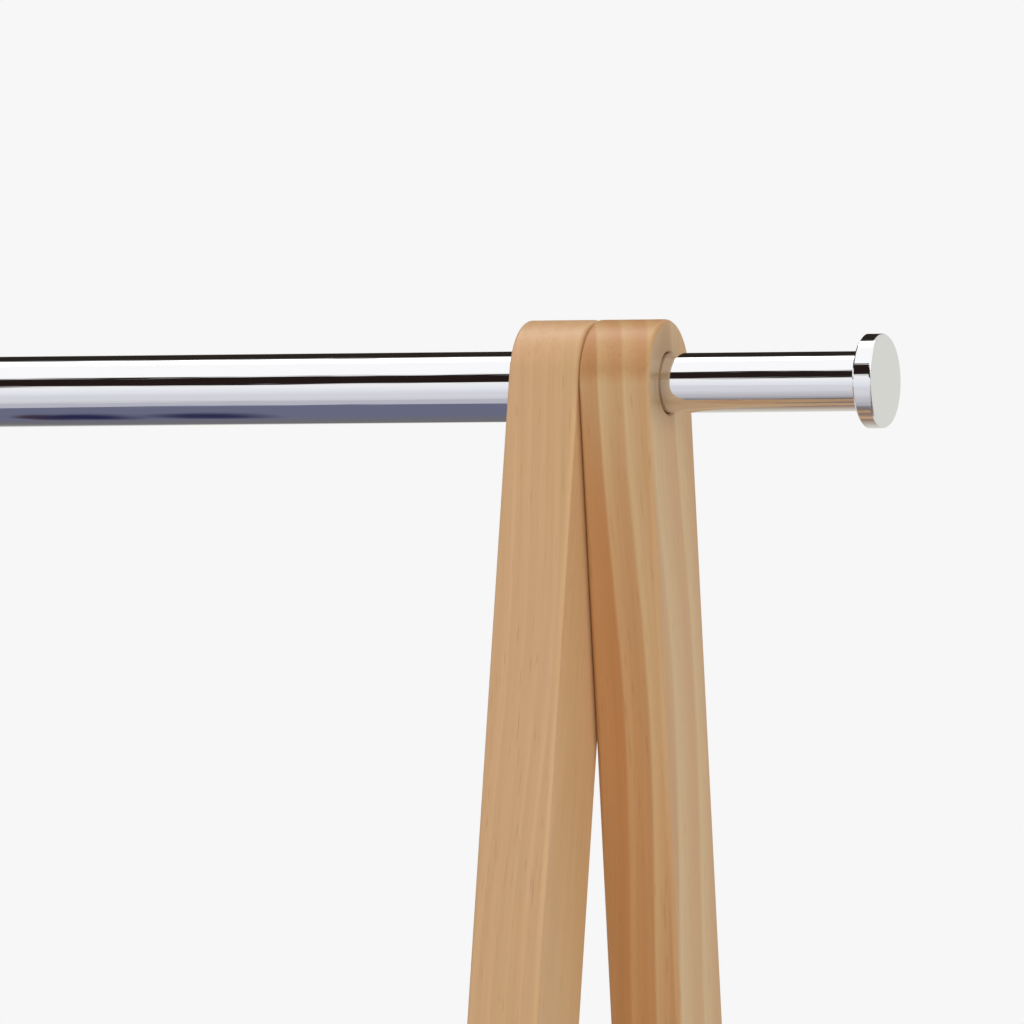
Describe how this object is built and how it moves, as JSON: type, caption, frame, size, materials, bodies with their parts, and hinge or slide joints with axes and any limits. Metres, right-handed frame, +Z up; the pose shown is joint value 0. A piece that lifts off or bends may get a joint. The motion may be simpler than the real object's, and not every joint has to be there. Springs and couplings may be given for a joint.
{
  "type": "standing coat rack",
  "caption": "Folding A-frame clothes rack: lapped wooden legs with round heads pivot on a chrome rail that ends in disc caps, tied by low stretchers.",
  "frame": {"origin": "on the floor, under the middle of the rail", "axes": "+Z up, +X along the rail to the right end, -Y towards the front legs"},
  "size_m": [1.2, 0.5856, 1.6],
  "materials": {
    "leg_wood": "clear lacquered pine, planed and sanded",
    "rail_chrome": "bright chrome plating on steel",
    "hardware_steel": "zinc plated steel",
    "washer_nylon": "moulded nylon",
    "pad_plastic": "moulded plastic"
  },
  "bodies": {
    "front_frame": {"rail_core": "rail_chrome", "rail_sleeve": "rail_chrome", "end_cap_left": "rail_chrome", "end_cap_right": "rail_chrome", "cap_plug_left": "hardware_steel", "cap_plug_right": "hardware_steel", "cap_stud_left": "hardware_steel", "cap_stud_right": "hardware_steel", "front_leg_left": "leg_wood", "front_leg_right": "leg_wood", "pivot_washer_left": "washer_nylon", "pivot_washer_right": "washer_nylon", "stop_pin_left": "hardware_steel", "stop_pin_right": "hardware_steel", "rail_lock_screw_left": "hardware_steel", "rail_lock_screw_right": "hardware_steel", "front_stretcher": "rail_chrome", "front_stretcher_plug_left": "hardware_steel", "front_stretcher_plug_right": "hardware_steel", "front_stretcher_bolt_left": "hardware_steel", "front_stretcher_bolt_right": "hardware_steel", "front_foot_pad_left": "pad_plastic", "front_foot_pad_right": "pad_plastic"},
    "rear_frame": {"rear_leg_left": "leg_wood", "rear_leg_right": "leg_wood", "rear_stretcher": "rail_chrome", "rear_stretcher_plug_left": "hardware_steel", "rear_stretcher_plug_right": "hardware_steel", "rear_stretcher_bolt_left": "hardware_steel", "rear_stretcher_bolt_right": "hardware_steel", "rear_foot_pad_left": "pad_plastic", "rear_foot_pad_right": "pad_plastic"}
  },
  "joints": [
    {"name": "frame_fold", "type": "hinge", "parent": "front_frame", "child": "rear_frame", "pos_m": [0, 0, 1.573], "axis": [-1, 0, 0], "range_deg": [0, 17]}
  ]
}
